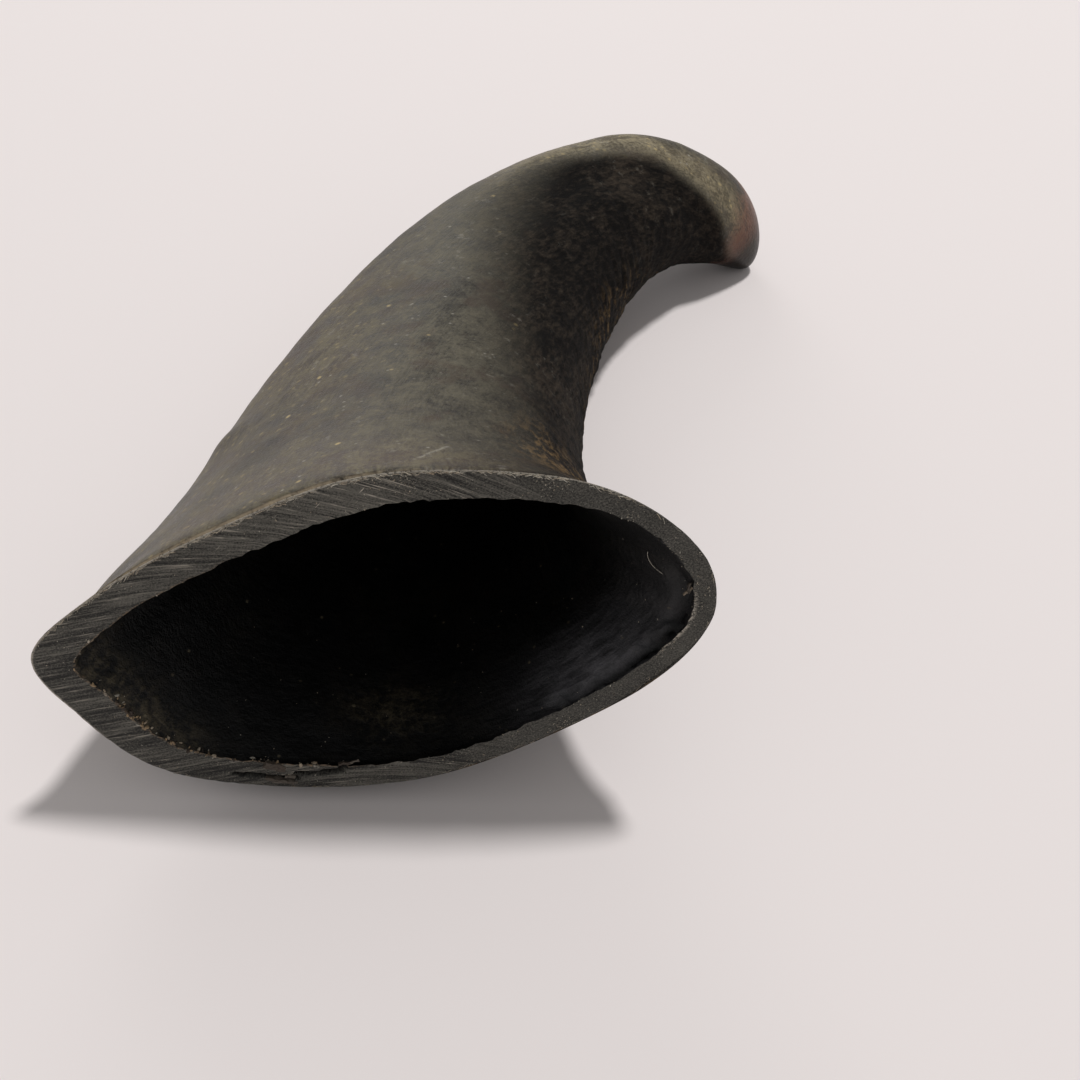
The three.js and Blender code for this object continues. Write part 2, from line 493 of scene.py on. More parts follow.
def makeHollow():
    finish, tree, shader = newFinish("hollowWall")
    grown = surfacePlace(tree)
    across, up, along = splitParts(grown)
    angle = sectionAngle(across, up)
    roundways = joinParts(tree, across * 0.2, up * 0.2, along)
    streaks = clouds(roundways, hollowLook["streakWidth"] * mm, 4, 0.7)
    broad = clouds(grown, hollowLook["cloudWidth"] * mm, 4, 0.7)
    grit = clouds(grown, hollowLook["gritWidth"] * mm, 4, 0.8)
    # The wall is nearly black: its own dark colour together with painted shade for the depth of the
    # hollow.
    tone = (streaks - 0.5) * 1.4 + (broad - 0.5) * 1.8 + (grit - 0.5)
    colour = mixPaint(climb(tone, -0.25, 0.8), hollowLook["dark"], hollowLook["light"])

    # A painted sheen on the loose layer at the lower right, painted shade in the gap before it, and
    # crusts elsewhere.
    paintedSheenSide = bell(angle, -50, 34) * climb(along, 19 * mm, 3 * mm)
    paintedSheenStreaks = (streaks - 0.5) * 1.8 + (broad - 0.5) * 0.7
    colour = mixPaint(paintedSheenSide * climb(paintedSheenStreaks, -0.7, 0.7) * 0.85, colour, hollowLook["paintedSheen"])
    # The gap before the loose layer is painted dark: painted shade in the gap.
    gapShade = bell(angle, -40, 34) * bell(along, 2 * mm, 1.1 * mm)
    colour = mixPaint(gapShade, colour, hollowLook["dark"])
    keelCrust = climb(across, -36 * mm, -42 * mm) * climb(along, 8 * mm, 1 * mm)
    lowCrust = bell(angle, -116, 26) * bell(along, 11 * mm, 8 * mm)
    crust = most(keelCrust, lowCrust) * climb((grit - 0.5) * 2.4 + (broad - 0.5) * 1.6, -0.3, 0.6)
    colour = mixPaint(crust, colour, hollowLook["crusty"])
    crumbs = climb(specks(grown, 3 * mm), 0.14, 0.05) * climb(clouds(grown, 7 * mm), 0.5, 0.6)
    colour = mixPaint(crumbs * 0.6, colour, hollowLook["crumb"])
    addLink(tree, colour, shader, "Base Color")
    shader.inputs["Roughness"].default_value = hollowLook["rough"]
    shader.inputs["Specular IOR Level"].default_value = hollowLook["shine"]
    setBump(tree, shader, streaks * 0.3 + grit * 0.7 + broad * 0.5, hollowLook["bumpDepth"] * mm)
    return finish


# The edge of the cut: across, up, and how thick the wall is there.
mouthEdge = [
    (48.9, -13, 3.4),  # thin end, on the inner side of the bend
    (46, -0.5, 3.2),
    (38, 10.8, 4.2),
    (20.5, 22.2, 5),
    (8, 26.7, 5.6),
    (-10, 27.8, 5.6),
    (-33, 26.2, 5.4),
    (-49.6, 20.4, 6.4),  # thick keel, on the outer side of the bend
    (-50.8, 8, 6.8),
    (-47, -8.5, 6.2),
    (-31, -22.8, 5.6),
    (-10.5, -32, 4.4),
    (11, -33.2, 4.2),
    (31, -30.1, 3.8),
    (45, -23, 3.4),
]

hornSizes = {
    "Length": 208 * mm,  # along the middle line, from the cut to the end of the tip
    "Hollow Length": 128 * mm,
    "Bend Start": -4.4,
    "Bend Total": 66.3,
    "Droop Start": -3.4,
    "Droop Tip": -94.0,
    "Twist Early": -13.0,
    "Twist Late": -84.6,
    "Body Width": 0.62,  # widths are in mouth widths
    "Tip Width": 0.178,
    "Flare": 0.1,
    "Tip Cap": 0.112,
    "Skin Depth": 0.12 * mm,  # the skin lies this far inside the smooth shape
    "Lump Height": 0.9 * mm,
    "Wrinkle Depth": 0.5 * mm,
    "Ridge Height": 0.7 * mm,
    "Edge Wear": 0.42 * mm,
    "Crack Depth": 1.4 * mm,
    "Layer Depth": 1.3 * mm,  # of the inner layer that has come loose beside the mouth
    "Around": 256,
    "Hollow Rings": 60,
    "Rim Rings": 36,
    "Outside Rings": 286,
}
hornForm = {
    "droopPower": 6.0,
    "taperPower": 1.73,
    "tipRoundness": 0.97,
    "ovalMix": 0.3,
    "ovalPower": 1.2,
    "ovalEnd": 4.0,
    "hollowFullness": 0.72,
    "lay": (-13.79, -30.46, 17.83),  # turned about X, then Y, then Z, to lie on its belly
    "home": (-6.212, -83.421, 38.488),  # where the middle of the cut's edge then is
    "lineSteps": 416,
    "loopSteps": 32,  # points along the cut's edge between two corners
    "sharpEdge": 50,  # faces that meet more steeply than this are shaded apart
}

# How wide the lumps, wrinkles, pits and chips are that break up the smooth shape.
hornWear = {
    "lumps": (34, 8),  # the large ones and the small ones
    "wrinkles": 3.6,
    "pits": 4,
    "pitDepth": 1.2,
    "crumble": (1.1, 5),
    "notches": (2.4, 7),
    "crackWidth": (0.55, 0.15),  # where a crack starts to sink and where it is full
    "crackWobble": (1.5, 1.6),  # how long its bends are and how far they go
    "layerGap": (2, 1.4),  # how far behind the cut the loose layer starts, and the gap's width
    "cutReach": 1.2,  # how far behind the cut its wear goes
    "barkEnd": 172,  # the other border of the bark, on the underside
}

# Where the outside swells or sinks: by how much, then its angle round the section and how far
# along the horn it is, each with how wide it reaches.
bulges = [
    (1.7, (-40, 20), (5, 7)),
    (-1.4, (148, 26), (5, 8)),
    (0.6, (142, 14), (43, 6)),
    (1.2, (141, 36), (163, 20)),
]

# Where the dark bark of the inner side starts: share of the length, and angle round the section.
barkBorder = [
    (0, 30), (0.14, 21), (0.26, 25), (0.33, 36), (0.4, 54), (0.48, 80), (0.55, 105), (0.615, 122),
    (0.665, 127), (0.71, 124), (0.74, 120), (0.775, 113), (0.805, 97), (0.838, 84), (0.872, 70),
    (0.9, 56), (0.945, 44), (1, 40),
]

# Cracks in the cut, each between two spots given as across and up.
cracks = [
    ((-37.1, -15.7), (-32.7, -18.8)),
    ((-32.7, -18.8), (-29, -21.3)),
    ((-28.5, -20.6), (-22.1, -23.6)),
    ((-22.1, -23.6), (-19.6, -22.3)),
]


# A closed smooth line through corners, which turns evenly however far apart they are.
def smoothLoop(corners):
    line = []
    for spot in range(len(corners)):
        first, start, end, last = [corners[(spot + step) % len(corners)] for step in (-1, 0, 1, 2)]
        pairs = (first, start), (start, end), (end, last)
        gapIn, gap, gapOut = [(b - a).length ** 0.5 for a, b in pairs]
        leave = (start - first) / gapIn - (end - first) / (gapIn + gap) + (end - start) / gap
        arrive = (end - start) / gap - (last - start) / (gap + gapOut) + (last - end) / gapOut
        handles = start + leave * gap / 3, end - arrive * gap / 3
        line += interpolate_bezier(start, *handles, end, hornForm["loopSteps"])[:-1]
    return line


# The outer and the inner edge of the cut, as two closed lines in one mesh.
def makeMouthMesh():
    outer = [Vector((across * mm, up * mm, 0)) for across, up, wall in mouthEdge]
    inner = []
    for spot, (across, up, wall) in enumerate(mouthEdge):
        forward = (outer[(spot + 1) % len(outer)] - outer[spot - 1]).normalized()
        inner.append(outer[spot] + Vector((-forward.y, forward.x, 0)) * wall * mm)
    loops = [smoothLoop(outer), smoothLoop(inner)]
    count = len(loops[0])
    edges = [(base + spot, base + (spot + 1) % count) for base in (0, count) for spot in range(count)]
    mesh = bpy.data.meshes.new("mouthEdge")
    mesh.from_pydata([point for loop in loops for point in loop], edges, [])
    marks = mesh.attributes.new("inner", "FLOAT", "POINT")
    marks.data.foreach_set("value", [0.0] * count + [1.0] * count)
    return mesh


def setCurve(node, points):
    line = node.mapping.curves[0]
    while len(line.points) < len(points):
        line.points.new(0.5, 0.5)
    for point, place in zip(line.points, points):
        point.location = place
    node.mapping.update()


# The smooth shape: one closed skin over the hollow, the cut, the outside and the tip.
def shapeHorn(tree, size):
    take = taker(tree)

    # The two outlines of the cut.
    index = take("GeometryNodeInputIndex")
    inner = stored(tree, "inner")
    innerLoop = take("GeometryNodeMeshToCurve", 0, {"Mesh": size["Geometry"], "Selection": inner})
    outerLoop = take("GeometryNodeMeshToCurve", 0, {"Mesh": size["Geometry"], "Selection": 1 - inner})

    # The middle line: each step goes the way the horn heads there.
    def headingAt(share):
        yaw = (size["Bend Start"] + size["Bend Total"] * share) * degree
        pitch = (size["Droop Start"] + size["Droop Tip"] * share ** hornForm["droopPower"]) * degree
        level = calc("COSINE", pitch)
        ahead = joinParts(tree, calc("SINE", yaw) * level, calc("COSINE", yaw) * level,
                          calc("SINE", pitch))
        return yaw, ahead

    steps = hornForm["lineSteps"]
    line = take("GeometryNodeMeshLine", 0, {"Count": steps + 1})
    step = headingAt((index + 0.5) / steps)[1] * (size["Length"] / steps)
    reached = take("GeometryNodeAccumulateField", 1, {"Value": step}, data_type="FLOAT_VECTOR")
    line = take("GeometryNodeSetPosition", 0, {"Geometry": line, "Position": reached})
    middleLine = take("GeometryNodeMeshToCurve", 0, {"Mesh": line})

    # A grid that is rolled up: its rows are the rings, from the hollow's end to the tip. They lie
    # closer together beside the cut and towards both ends.
    hollowRings, rimRings, outsideRings = size["Hollow Rings"], size["Rim Rings"], size["Outside Rings"]
    rows = hollowRings + rimRings + outsideRings + 1
    paper = take("GeometryNodeMeshGrid", 0, {"Vertices X": size["Around"] + 1, "Vertices Y": rows})
    column = calc("FLOOR", index / rows)
    row = index - column * rows
    turn = column / size["Around"]
    hollowReach = most(1 - row / hollowRings, 0)
    hollowReach = blend(hollowReach ** 2, 1 - (1 - hollowReach) ** 1.5, 0.2)
    outsideReach = most((row - hollowRings - rimRings) / outsideRings, 0)
    outsideReach = blend(outsideReach ** 1.5, 1 - (1 - outsideReach) ** 1.5, 0.9)
    outsideReach = outsideReach * (1 - calc("EXPONENT", outsideReach * -80) * 0.85)
    rimReach = calc("MINIMUM", most((row - hollowRings) / rimRings, 0), 1)
    rimReach = 0.5 - calc("COSINE", rimReach * math.pi) * 0.5
    share = hollowReach * (size["Hollow Length"] / size["Length"]) + outsideReach

    def outlineAt(loop):
        here = take("GeometryNodeSampleCurve", "Position", {"Curves": loop, "Factor": turn},
                    mode="FACTOR")
        low, high = [take("GeometryNodeBoundBox", side, {"Geometry": loop, "Use Radius": False})
                     for side in ("Min", "Max")]
        middle = (low + high) * 0.5
        half = (high - low) * 0.5 + (0, 0, 1)
        oval = middle + half * calc("NORMALIZE", (here - middle) / half)
        return here, oval, half

    innerHere, innerOval = outlineAt(innerLoop)[:2]
    outerHere, outerOval, outerHalf = outlineAt(outerLoop)
    here = blend(innerHere, outerHere, rimReach)
    oval = blend(innerOval, outerOval, rimReach)

    # The section at a share of the length. At the mouth it lies in the cut.
    yaw, ahead = headingAt(share)
    side = joinParts(tree, calc("COSINE", yaw), calc("SINE", yaw) * -1, 0)
    top = calc("NORMALIZE", calc("CROSS_PRODUCT", side, ahead))
    twist = (size["Twist Early"] * share + size["Twist Late"] * share ** 2) * degree
    turnCos, turnSin = calc("COSINE", twist), calc("SINE", twist)
    cutPull = (1 - share) ** 4
    sideAxis = blend(side * turnCos + top * turnSin, (1, 0, 0), cutPull)
    topAxis = blend(top * turnCos - side * turnSin, (0, 0, 1), cutPull)

    capShare = most((share - (1 - size["Tip Cap"])) / size["Tip Cap"], 0)
    shrink = calc("SQRT", most(0.99999 - capShare ** 2, 0))  # just short of 1, so that the tip closes
    shrink = shrink * most(1 - hollowReach ** 2, 0) ** hornForm["hollowFullness"]
    thinning = (1 - size["Tip Width"] / size["Body Width"]) * share ** hornForm["taperPower"]
    steady = size["Body Width"] * (1 - thinning)
    width = (steady + (1 - size["Body Width"]) * calc("EXPONENT", share / size["Flare"] * -1)) * shrink
    halfWide, halfHigh = splitParts(outerHalf)[:2]
    rounder = halfWide / halfHigh * hornForm["tipRoundness"] - 1
    depth = width * (1 + rounder * calc("SQRT", share))
    ovalShare = hornForm["ovalMix"] * share ** hornForm["ovalPower"]
    ovalShare = ovalShare + (1 - hornForm["ovalMix"]) * share ** hornForm["ovalEnd"]
    across, up = splitParts(blend(here, oval, ovalShare))[:2]
    across, up = across * width, up * depth
    centre = take("GeometryNodeSampleCurve", "Position", {"Curves": middleLine, "Factor": share},
                  mode="FACTOR")
    target = centre + sideAxis * across + topAxis * up
    grown = joinParts(tree, across, up, share * size["Length"])

    # How far a spot is inside the bark, measured round the section.
    border = take("ShaderNodeFloatCurve", 0, {"Factor": 1.0, "Value": share})
    setCurve(border.socket.node, [(place, angle / 180) for place, angle in barkBorder])
    turned = calc("ARCTAN2", up, across)
    radius = calc("LENGTH", joinParts(tree, across, up, 0))
    barkGap = least(border * math.pi - turned, turned + hornWear["barkEnd"] * degree) * radius

    shape = paper
    for label, value in (("grown", grown), ("rimReach", rimReach), ("barkGap", barkGap)):
        shape = store(shape, label, value)
    shape = take("GeometryNodeSetPosition", 0, {"Geometry": shape, "Position": target})
    shape = take("GeometryNodeMergeByDistance", 0, {"Geometry": shape, "Distance": 0.002 * mm})
    return take("GeometryNodeFlipFaces", 0, {"Mesh": shape})


# Roughens the smooth shape, while its cut still stands upright.
def wearHorn(tree, size, shape):
    def inMetres(name):
        return [width * mm for width in hornWear[name]]

    grown = stored(tree, "grown", "FLOAT_VECTOR")
    barkGap, rimReach = stored(tree, "barkGap"), stored(tree, "rimReach")
    across, up, along = splitParts(grown)
    angle = sectionAngle(across, up)
    outside = calc("GREATER_THAN", rimReach, 0.999)
    inside = calc("LESS_THAN", rimReach, 0.001)
    normal = taker(tree)("GeometryNodeInputNormal")

    # Relief along the normals: lumps, a ridge beside the bark, and wrinkles across the bark.
    bark = climb(barkGap, -2 * mm, 8 * mm)
    large, small = inMetres("lumps")
    lumps = clouds(grown, large, 1, 0.5) + clouds(grown, small, 2, 0.5) * 0.5 - 0.72
    crossways = joinParts(tree, across * 0.3, up * 0.3, along)
    wrinkles = clouds(crossways, hornWear["wrinkles"] * mm, 3, 0.6, 0.6)
    wrinkles = 1 - calc("ABSOLUTE", wrinkles * 2 - 1) * 2.4
    underside = climb(barkGap, 20 * mm, 40 * mm)
    late = climb(along, 105 * mm, 135 * mm)
    smoothTip = climb(along, 192 * mm, 172 * mm)
    awayFromCut = climb(along, 0, 4 * mm)
    relief = lumps * size["Lump Height"] * climb(along, 0, 22 * mm)
    relief = relief + bell(barkGap, -2.5 * mm, 6 * mm) * late * smoothTip * size["Ridge Height"]
    relief = relief - bell(barkGap, 7 * mm, 9 * mm) * late * smoothTip * size["Ridge Height"]
    wrinkles = most(wrinkles, 0) * bark * smoothTip * (underside * 0.8 + 0.6)
    relief = relief - wrinkles * size["Wrinkle Depth"]
    room = climb(barkGap, 6 * mm, -6 * mm) * climb(along, 178 * mm, 160 * mm) * (0.6 * mm)
    relief = least(relief * awayFromCut, room) - size["Skin Depth"]
    swelling = 0
    for height, (turned, turnWidth), (place, length) in bulges:
        bulge = bell(angle, turned, turnWidth) * bell(along, place * mm, length * mm)
        swelling = swelling + bulge * height
    shape = push(shape, outside, normal * (relief + swelling * mm))

    # The hollow is pitted, and a thin layer of its wall has come loose on the inner side of the bend.
    pits = clouds(joinParts(tree, across, up, along * 0.2), hornWear["pits"] * mm, 3, 0.6) - 0.5
    pits = pits * climb(along, 0, 6 * mm) * climb(along, 120 * mm, 100 * mm)
    pits = pits * (hornWear["pitDepth"] * mm)
    ragged = along + (clouds(grown, 3 * mm, 3, 0.7) - 0.5) * (5 * mm)
    loose = climb(angle, -68, -58) * climb(angle, -10, -20)
    gap = bell(ragged, *inMetres("layerGap")) * loose
    sheet = climb(ragged, 2.8 * mm, 3.6 * mm) * climb(along, 30 * mm, 14 * mm) * loose
    shape = push(shape, inside, normal * (pits + (sheet * 0.6 - gap) * size["Layer Depth"]))

    # The cut's edges are worn and crumbled, and the wall has split in layers at the bottom left.
    onCut = climb(along, hornWear["cutReach"] * mm, 0.2 * mm)
    byCut = calc("LESS_THAN", along, hornWear["cutReach"] * mm)
    small, large = inMetres("crumble")
    crumble = clouds(grown, small, 3, 0.7) + clouds(grown, large, 1, 0.5) * 0.6 - 0.8
    wornIn, wornOut = climb(rimReach, 0.2, 0), climb(rimReach, 0.93, 1) * climb(along, 0.5 * mm, 0)
    bends, reach = inMetres("crackWobble")
    wobble = [(clouds(grown + (0, 0, shift), bends, 2) - 0.5) * reach for shift in (0.2, 0.4)]
    spot = joinParts(tree, across + wobble[0], up + wobble[1], 0)
    starts, full = inMetres("crackWidth")
    crack = 0
    for start, end in cracks:
        crack = most(crack, climb(lineGap(spot, (*start, 0), (*end, 0)), starts, full) * onCut)
    shape = store(shape, "crack", crack)
    crack = stored(tree, "crack")
    inward = most(crumble, 0) * (wornIn * 2 + wornOut) * onCut * size["Edge Wear"]
    inward = inward + wornOut * onCut * (0.06 * mm)
    shape = push(shape, byCut, joinParts(tree, 0, inward + crack * size["Crack Depth"], 0))
    small, large = inMetres("notches")
    notches = (clouds(grown, small, 3, 0.8) - 0.5) * 2 + (clouds(grown, large, 2) - 0.5)
    jag = (notches * wornIn * 2.6 - wornOut * (crumble + 0.1) * 0.5) * onCut * size["Edge Wear"]
    outward = calc("NORMALIZE", joinParts(tree, across, 0, up))
    return push(shape, byCut, outward * jag)


# Turns what was made in the horn's own frame to where the horn lies.
def layDown(shape):
    turn = tuple(math.radians(angle) for angle in hornForm["lay"])
    home = tuple(part * mm for part in hornForm["home"])
    return taker(shape.tree)("GeometryNodeTransform", 0,
                             {"Geometry": shape, "Rotation": turn, "Translation": home})


def makeHornTree(skin, sawn, hollow):
    tree, size = newShapeTree("hornShape", hornSizes)
    shape = wearHorn(tree, size, shapeHorn(tree, size))
    rimReach = stored(tree, "rimReach")
    inHollow = calc("LESS_THAN", rimReach, 0.0001)
    onOutside = calc("GREATER_THAN", rimReach, 0.9999)
    endShapeTree(layDown(shape), (sawn, True), (hollow, inHollow), (skin, onOutside))
    return tree


finishes = makeSkin(), makeSawn(), makeHollow()
print("finishes ready")
hornBody = growPiece("hornBody", makeMouthMesh(), makeHornTree(*finishes), hornSizes)
hornBody.data.set_sharp_from_angle(angle=math.radians(hornForm["sharpEdge"]))
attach(hornBody, "root")
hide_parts("horn_sheath")

crumbLook = {
    "pale": paint("c6c0b2"),
    "tan": paint("a58c6c"),
    "rusty": paint("382c22"),
    "dark": paint("1f1813"),
    "layerWidth": 0.5,
    "bumpDepth": 0.1,
}


# For fibres, crumbs, flakes and the hair: pale, and warmer where they carry more of "warm".
def makeCrumbStuff():
    finish, tree, shader = newFinish("looseHorn")
    place = Wire(addNode(tree, "ShaderNodeTexCoord").outputs["Object"])
    warm, shade = surfaceNumber(tree, "warm"), surfaceNumber(tree, "shade")
    brown = mixPaint(climb(shade, 0.25, 0.8), crumbLook["rusty"], crumbLook["tan"])
    colour = mixPaint(warm, mixPaint(shade * 0.5, crumbLook["pale"], crumbLook["tan"]), brown)
    layers = clouds(place, crumbLook["layerWidth"] * mm, 3, 0.7)
    colour = mixPaint(climb(layers, 0.5, 0.65) * 0.6, colour, crumbLook["dark"])
    addLink(tree, colour, shader, "Base Color")
    addLink(tree, blend(0.6, 0.8, layers), shader, "Roughness")
    setBump(tree, shader, layers, crumbLook["bumpDepth"] * mm)
    return finish


# Turns what lies flat on the cut, with its own Z out of the cut, to where the cut is.
def standOnCut(shape):
    upright = {"Geometry": shape, "Rotation": (90 * degree, 0, 0)}
    return layDown(taker(shape.tree)("GeometryNodeTransform", 0, upright))


rimFibreSizes = {
    "Count": 2600,  # places tried along the outer edge of the cut
    "Length": 0.8 * mm,
    "Thickness": 0.05,  # in fibre lengths
    "Seed": 3,
}


# A closed tube along a line, with so many sides.
def thicken(tree, line, radius, sides):
    take = taker(tree)
    circle = {"Resolution": sides, "Radius": radius}
    ring = take("GeometryNodeCurvePrimitiveCircle", 0, circle, mode="RADIUS")
    tube = {"Curve": line, "Profile Curve": ring, "Fill Caps": True}
    return take("GeometryNodeCurveToMesh", 0, tube)


# Short pale fibres along the outer edge of the cut, most of them on its top side.
def makeFibreTree(finish):
    tree, size = newShapeTree("rimFibreShape", rimFibreSizes)
    take = taker(tree)
    edge = take("GeometryNodeMeshToCurve", 0,
                {"Mesh": size["Geometry"], "Selection": 1 - stored(tree, "inner")})
    spots = addNode(tree, "GeometryNodeCurveToPoints", {"Curve": edge, "Count": size["Count"]},
                    mode="COUNT")
    points, forward = Wire(spots.outputs[0]), Wire(spots.outputs[1])
    place = take("GeometryNodeInputPosition")
    across, up = splitParts(place)[:2]
    outward = calc("NORMALIZE", place)
    chance = climb(across, -49 * mm, -44 * mm) * blend(0.08, 0.8, climb(up, 0, 14 * mm))
    chance = chance * climb(clouds(place, 4 * mm, 2), 0.36, 0.6)
    keep = calc("LESS_THAN", anyNumber(tree, 0.0, 1.0, size["Seed"]), chance)
    way = forward * calc("SIGN", anyNumber(tree, -1.0, 1.0, 11))
    way = way - outward * anyNumber(tree, -0.1, 0.6, 12)
    way = way + joinParts(tree, 0, 0, anyNumber(tree, -0.1, 0.4, 13))
    turn = take("FunctionNodeAlignRotationToVector", 0, {"Vector": way}, axis="X")
    roll = joinParts(tree, anyNumber(tree, 0.0, 6.28, 14), 0, 0)
    roll = take("FunctionNodeEulerToRotation", 0, {0: roll})
    turn = take("FunctionNodeRotateRotation", 0, {0: turn, 1: roll}, rotation_space="LOCAL")
    shift = joinParts(tree, 0, 0, 0.04 * mm) - outward * (anyNumber(tree, 0.16, 0.4, 15) * mm)
    points = push(points, True, shift)
    points = store(points, "warm", anyNumber(tree, 0.0, 0.45, 16))
    points = store(points, "shade", anyNumber(tree, 0.0, 1.0, 17))
    bow = {"Resolution": 4, "Start": (0, 0, 0), "Middle": (0.5, 0.16, 0), "End": (1, 0.03, 0)}
    line = take("GeometryNodeCurveQuadraticBezier", 0, bow)
    fibre = thicken(tree, line, size["Thickness"], 3)
    shape = take("GeometryNodeInstanceOnPoints", 0,
                 {"Points": points, "Selection": keep, "Instance": fibre, "Rotation": turn,
                  "Scale": size["Length"] * anyNumber(tree, 0.35, 1.4, 18) * (1, 1, 1)})
    endShapeTree(standOnCut(shape), (finish, True))
    return tree


crumbSizes = {
    "On Left Edge": 6e6,  # crumbs to a square metre along the inner edge of the keel
    "On Cut": 0.2e6,
    "In Patches": 2.2e6,
    "In Hollow": 0.03e6,
    "Width": 0.22 * mm,
    "Seed": 5,
}


# Crumbs of horn on the cut, thick on the inner edge of the keel, and a few just inside the hollow.
def makeCrumbTree(finish):
    tree, size = newShapeTree("crumbShape", crumbSizes)
    take = taker(tree)
    rimReach = stored(tree, "rimReach")
    across, up, along = splitParts(stored(tree, "grown", "FLOAT_VECTOR"))
    onCut = calc("LESS_THAN", along, 0.3 * mm)
    onFlat = joinParts(tree, across, up, 0)
    leftEdge = climb(rimReach, 0.08, 0.0) * climb(across, -16 * mm, -34 * mm) * climb(along, 0.9 * mm, 0)
    leftEdge = leftEdge * climb(clouds(onFlat, 3 * mm, 2), 0.35, 0.6) * climb(up, 24 * mm, 10 * mm)
    patches = climb(clouds(onFlat, 5 * mm, 2), 0.52, 0.62) * climb(across, -14 * mm, 6 * mm)
    amount = leftEdge * size["On Left Edge"] + onCut * (size["On Cut"] + patches * size["In Patches"])
    inHollow = climb(along, 40 * mm, 2 * mm) * (1 - onCut) * climb(up, 0, -10 * mm)
    amount = amount + inHollow * size["In Hollow"]
    amount = amount * calc("LESS_THAN", rimReach, 0.97) * climb(across, -49.5 * mm, -47 * mm)
    points = take("GeometryNodeDistributePointsOnFaces", 0,
                  {"Mesh": size["Geometry"], "Density": amount, "Seed": size["Seed"]},
                  distribute_method="RANDOM")
    warm = most(leftEdge * 3, anyNumber(tree, 0.0, 0.4, 21))
    points = store(points, "warm", least(warm, 1))
    points = store(points, "shade", anyNumber(tree, 0.0, 1.0, 22))
    grain = take("GeometryNodeMeshIcoSphere", 0, {"Radius": 0.5, "Subdivisions": 1})
    spin = joinParts(tree, *[anyNumber(tree, 0.0, 6.28, seed) for seed in (23, 24, 25)])
    turn = take("FunctionNodeEulerToRotation", 0, {0: spin})
    stretch = joinParts(tree, anyNumber(tree, 0.6, 2.4, 26), anyNumber(tree, 0.5, 1.2, 27),
                        anyNumber(tree, 0.4, 0.9, 28))
    width = size["Width"] * anyNumber(tree, 0.4, 1.1, 29) * blend(1, 3.4, least(leftEdge * 8, 1))
    shape = take("GeometryNodeInstanceOnPoints", 0,
                 {"Points": points, "Instance": grain, "Rotation": turn, "Scale": stretch * width})
    endShapeTree(shape, (finish, True))
    return tree


# Flakes that lift at the cracks, then a spur on the keel and two splinters at the thin end. Each has
# its middle as across, up and out of the cut, then its length, width and thickness, and how far it
# is turned and tipped.
flakeSizes = {"Roughness": 0.35 * mm, "Seed": 7}
flakes = [
    ((-30.3, -17.4, 0.1), (4.2, 1.5, 0.5), -62, 12),
    ((-31.4, -20.4, 0.05), (4.8, 0.6, 0.7), -37, -6),
    ((-30.9, -21.2, -0.1), (4.2, 0.45, 0.8), -36, 4),
    ((-29.6, -20.6, 0.0), (1.7, 0.7, 0.35), -48, 12),
    ((-20.2, -22.4, -0.1), (2.2, 0.5, 0.3), -24, 3),
    ((-18.6, -22.9, -0.15), (1.4, 0.4, 0.3), -8, 5),
    ((-49.6, 0.9, -0.35), (1.2, 0.3, 0.3), -135, 0),
    ((44.5, -14.8, -0.1), (1.5, 0.36, 0.3), 58, 8),
    ((44.1, -15.4, -0.25), (1.9, 0.28, 0.24), 18, -6),
]


def makeFlakeMesh():
    mesh = bpy.data.meshes.new("crackFlakes")
    mesh.from_pydata([[part * mm for part in middle] for middle, bulk, turn, tip in flakes], [], [])
    for label, values in (("bulk", [bulk for middle, bulk, turn, tip in flakes]),
                          ("turn", [(0, tip, turn) for middle, bulk, turn, tip in flakes])):
        marks = mesh.attributes.new(label, "FLOAT_VECTOR", "POINT")
        marks.data.foreach_set("vector", [part for value in values for part in value])
    return mesh


def makeFlakeTree(finish):
    tree, size = newShapeTree("flakeShape", flakeSizes)
    take = taker(tree)
    points = take("GeometryNodeMeshToPoints", 0, {"Mesh": size["Geometry"]})
    points = store(points, "warm", anyNumber(tree, 0.85, 1.0, size["Seed"]))
    points = store(points, "shade", anyNumber(tree, 0.1, 0.5, 31))
    block = take("GeometryNodeMeshCube", 0,
                 {"Size": (1, 1, 1), "Vertices X": 16, "Vertices Y": 6, "Vertices Z": 3})
    spin = stored(tree, "turn", "FLOAT_VECTOR") * degree
    turn = take("FunctionNodeEulerToRotation", 0, {0: spin})
    shape = take("GeometryNodeInstanceOnPoints", 0,
                 {"Points": points, "Instance": block, "Rotation": turn,
                  "Scale": stored(tree, "bulk", "FLOAT_VECTOR") * mm})
    shape = take("GeometryNodeRealizeInstances", 0, {"Geometry": shape})
    place = take("GeometryNodeInputPosition")
    jolts = [clouds(place + (shift, 0, 0), 0.9 * mm, 2) - 0.5 for shift in (0.1, 0.2, 0.3)]
    jolt = joinParts(tree, *jolts)
    shape = push(shape, True, jolt * (size["Roughness"] * 2))
    endShapeTree(standOnCut(shape), (finish, True))
    return tree


hairSizes = {"Thickness": 0.05 * mm, "Resolution": 14}
# Its start, its bow and its end, in the frame.
hairPath = [(31.2, -68.4, 50.3), (31.5, -68.2, 47.4), (34.3, -69.5, 47.1)]


# One curved hair on the wall of the hollow, beside the thin end of the cut.
def makeHairTree(finish):
    tree, size = newShapeTree("hairShape", hairSizes)
    take = taker(tree)
    bow = dict(zip(("Start", "Middle", "End"), [tuple(part * mm for part in spot) for spot in hairPath]))
    line = take("GeometryNodeCurveQuadraticBezier", 0, {"Resolution": size["Resolution"], **bow})
    shape = thicken(tree, line, size["Thickness"], 5)
    shape = store(shape, "warm", anyNumber(tree, 0.1, 0.2, 41))
    shape = store(shape, "shade", anyNumber(tree, 0.1, 0.3, 42))
    endShapeTree(shape, (finish, True))
    return tree


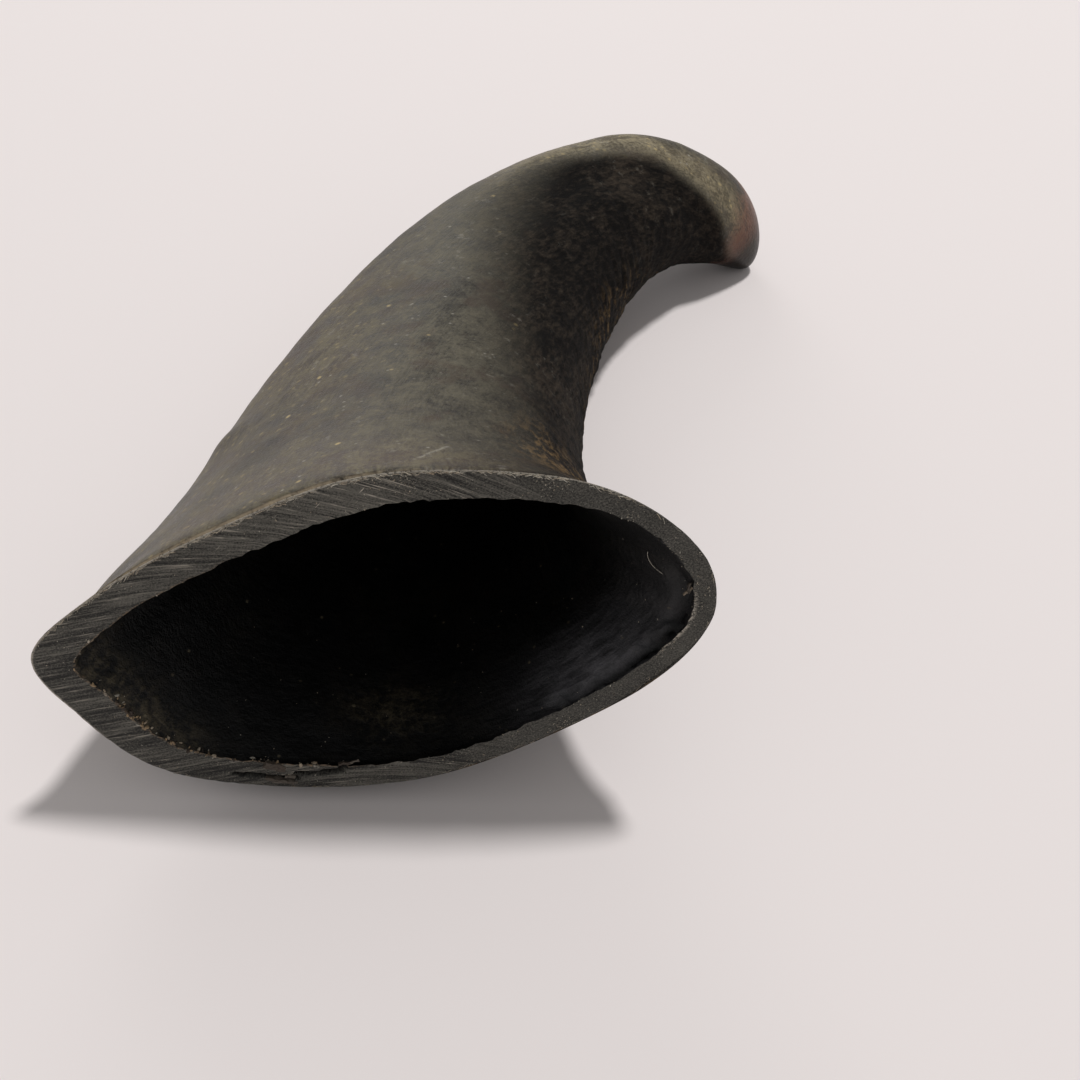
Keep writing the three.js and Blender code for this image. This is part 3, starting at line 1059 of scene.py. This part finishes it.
crumbStuff = makeCrumbStuff()
rimFibres = growPiece("rimFibres", makeMouthMesh(), makeFibreTree(crumbStuff), rimFibreSizes)
cutCrumbs = growPiece("cutCrumbs", hornBody.data.copy(), makeCrumbTree(crumbStuff), crumbSizes)
crackFlakes = growPiece("crackFlakes", makeFlakeMesh(), makeFlakeTree(crumbStuff), flakeSizes)
looseHair = growPiece("looseHair", bpy.data.meshes.new("looseHair"), makeHairTree(crumbStuff), hairSizes)
for piece in (rimFibres, cutCrumbs, crackFlakes, looseHair):
    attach(piece, "root")
print("pieces ready")

# Metres here, apart from the camera, because floor and lights are far larger than the horn.
stage = {
    "floorSize": 4.0,
    "floor": paint("e8e0de"),
    "floorRough": 0.9,
    "skyStrength": 0.33,
    "lightAim": (0, 0, 0.03),
    "lights": {  # where each is, how wide it is and how many watts it has
        "overheadKey": ((0.46, 1.15, 3.66), 0.42, 94),
        "backPanel": ((-0.9, 1.6, 0.9), 1.2, 6),
    },
}
viewer = {
    "lens": 40.406,
    "sensor": 36,
    "nearest": 10,
    "place": (14.6, -194.94, 187.44),
    "turn": (41.84, -7.005, 7.762),
}


def makeFloor():
    half = stage["floorSize"] / 2
    mesh = bpy.data.meshes.new("floor")
    corners = [(-half, -half, 0), (half, -half, 0), (half, half, 0), (-half, half, 0)]
    mesh.from_pydata(corners, [], [(0, 1, 2, 3)])
    floor = bpy.data.objects.new("floor", mesh)
    bpy.context.scene.collection.objects.link(floor)
    finish, shader = newFinish("paleFloor")[::2]
    shader.inputs["Base Color"].default_value = stage["floor"]
    shader.inputs["Roughness"].default_value = stage["floorRough"]
    mesh.materials.append(finish)


def addLight(name, place, width, power):
    data = bpy.data.lights.new(name, "AREA")
    data.shape = "DISK"
    data.size = width
    data.energy = power
    light = bpy.data.objects.new(name, data)
    light.location = place
    light.rotation_mode = "QUATERNION"
    light.rotation_quaternion = (Vector(stage["lightAim"]) - Vector(place)).to_track_quat("-Z", "Y")
    bpy.context.scene.collection.objects.link(light)


def makeCamera():
    data = bpy.data.cameras.new("viewer")
    data.lens = viewer["lens"]
    data.sensor_width = viewer["sensor"]
    data.clip_start = viewer["nearest"] * mm
    camera = bpy.data.objects.new("viewer", data)
    camera.location = [part * mm for part in viewer["place"]]
    camera.rotation_euler = [math.radians(angle) for angle in viewer["turn"]]
    bpy.context.scene.collection.objects.link(camera)
    bpy.context.scene.camera = camera


def makeSky():
    world = bpy.data.worlds.new("studio")
    world.use_nodes = True
    sky = world.node_tree.nodes["Background"]
    sky.inputs["Color"].default_value = (1, 1, 1, 1)
    sky.inputs["Strength"].default_value = stage["skyStrength"]
    bpy.context.scene.world = world


makeFloor()
for name, settings in stage["lights"].items():
    addLight(name, *settings)
makeSky()
bpy.context.scene.view_settings.view_transform = "Standard"
makeCamera()
print("stage ready")
